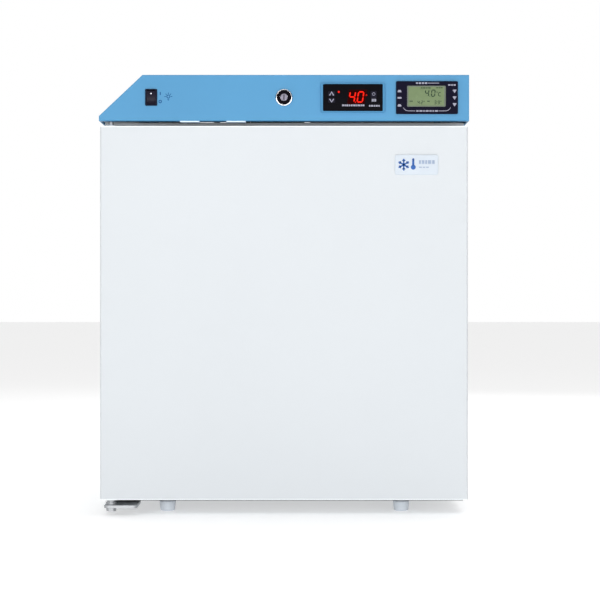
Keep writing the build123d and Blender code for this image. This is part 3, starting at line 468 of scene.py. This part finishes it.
# ------------------------------------------------------------------ badge on the door
BADGE = -241.6
FLAKE_X, FLAKE_Z = 149.6, 439.5


def from_flake(radius, angle):
    return FLAKE_X + radius * math.cos(angle), FLAKE_Z + radius * math.sin(angle)


flake = []
for k in range(6):
    a = math.pi / 3 * k + math.pi / 6
    flake += stroke([from_flake(0.0, a), from_flake(7.4, a)], 1.9)
    x, z = from_flake(4.3, a)
    for turn in (-0.9, 0.9):
        flake += stroke([(x, z), (x + 2.4 * math.cos(a + turn), z + 2.4 * math.sin(a + turn))], 1.3)
thermometer = [bar(160.1, 162.9, 438.6, 446.2), disc(161.5, 436.4, 3.1, 28),
               disc(161.5, 446.2, 1.4, 20)]
print_on("badge_symbol", flake + thermometer, BADGE, "print_navy", "door", 0.08)
print_on("badge_lines", word_bars(168.6, 188.2, 440.4, 445.2, [3, 4, 3, 5, 4])
         + word_bars(168.6, 181.0, 435.6, 437.0, [4, 3, 4]), BADGE, "print_teal", "door", 0.08)

# ------------------------------------------------------------------ door gasket
# bellows profile: distance outwards from the middle line, depth
PROFILE = [(8.0, -198.0), (8.0, -196.9), (5.6, -196.6), (4.4, -195.8), (6.6, -194.6), (6.9, -193.6),
           (5.2, -192.9), (6.4, -192.2), (7.6, -191.4), (7.8, -190.4), (6.9, -189.6), (5.2, -189.5),
           (-5.2, -189.5), (-6.9, -189.6), (-7.8, -190.4), (-7.6, -191.4), (-6.4, -192.2),
           (-5.2, -192.9), (-6.9, -193.6), (-6.6, -194.6), (-4.4, -195.8), (-5.6, -196.6),
           (-8.0, -196.9), (-8.0, -198.0)]
CORNER_R = 9
CORNER_STEPS = 8
path = []
for cx, cz, start in ((204, 462, 0), (-204, 462, 90), (-204, 46.5, 180), (204, 46.5, 270)):
    for i in range(CORNER_STEPS + 1):
        a = math.radians(start + i * 90 / CORNER_STEPS)
        path.append((cx, cz, math.cos(a), math.sin(a)))
ring_verts, ring_faces = [], []
for cx, cz, c, s in path:
    for off, y in PROFILE:
        ring_verts.append((cx + (CORNER_R + off) * c, y, cz + (CORNER_R + off) * s))
n, p = len(path), len(PROFILE)
for i in range(n):
    j = (i + 1) % n
    for k in range(p):
        m = (k + 1) % p
        ring_faces.append([i * p + k, j * p + k, j * p + m, i * p + m])
gasket = build("gasket_bellows", ring_verts, ring_faces, "gasket", "door", smooth=True)
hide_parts("door_gasket")

# ------------------------------------------------------------------ room, light, camera
bpy.ops.mesh.primitive_plane_add(size=40, location=(0, 0, 0))
floor = bpy.context.object
floor.name = "studio_floor"
ground = bpy.data.materials.new("studio_floor")
ground.use_nodes = True
matte = ground.node_tree.nodes["Principled BSDF"]
matte.inputs["Base Color"].default_value = (0.93, 0.93, 0.93, 1)
matte.inputs["Roughness"].default_value = 0.9
matte.inputs["Specular IOR Level"].default_value = 0.1
matte.inputs["Emission Color"].default_value = (1, 1, 1, 1)
matte.inputs["Emission Strength"].default_value = 0.34
floor.data.materials.append(ground)


def lamp(name, where, target, size, power):
    """Rectangular lamp that the camera cannot see."""
    data = bpy.data.lights.new(name, "AREA")
    data.shape = "RECTANGLE"
    data.size, data.size_y = size
    data.energy = power
    obj = bpy.data.objects.new(name, data)
    obj.location = where
    obj.rotation_euler = (Vector(target) - Vector(where)).to_track_quat("-Z", "Y").to_euler()
    obj.visible_camera = False
    bpy.context.scene.collection.objects.link(obj)


lamp("front", (0.0, -4.4, 0.42), (0.0, -0.2, 0.30), (4.4, 1.2), 116)
lamp("key", (-1.3, -2.4, 1.9), (0, 0, 0.3), (1.4, 1.2), 4)
lamp("floor", (0.0, -1.7, 2.0), (0.0, -1.5, 0.0), (3.2, 1.2), 12)
lamp("top", (0.2, 0.4, 2.2), (0, 0.1, 0.4), (1.6, 1.6), 10)
lamp("rear", (0.6, 2.4, 1.3), (0, 0.2, 0.3), (1.6, 1.2), 6)

world = bpy.data.worlds.new("studio")
world.use_nodes = True
sky = world.node_tree
sky.nodes["Background"].inputs["Color"].default_value = (1, 1, 1, 1)
# bright behind the object, softer behind the camera, where the front lamp takes over
way = sky.nodes.new("ShaderNodeTexCoord")
split = sky.nodes.new("ShaderNodeSeparateXYZ")
fall = sky.nodes.new("ShaderNodeMapRange")
fall.inputs["From Min"].default_value = -0.15
fall.inputs["From Max"].default_value = 0.35
fall.inputs["To Min"].default_value = 0.2
fall.inputs["To Max"].default_value = 1.0
sky.links.new(way.outputs["Generated"], split.inputs["Vector"])
sky.links.new(split.outputs["Y"], fall.inputs["Value"])
sky.links.new(fall.outputs["Result"], sky.nodes["Background"].inputs["Strength"])
bpy.context.scene.world = world
bpy.context.scene.view_settings.view_transform = "Standard"
bpy.context.scene.view_settings.look = "None"

camera_data = bpy.data.cameras.new("camera")
camera_data.lens = 110.4
camera_data.sensor_width = 36
camera = bpy.data.objects.new("camera", camera_data)
camera.location = (0.020, -2.540, 0.2705)
camera.rotation_euler = (math.radians(90), 0, 0)
bpy.context.scene.collection.objects.link(camera)
bpy.context.scene.camera = camera
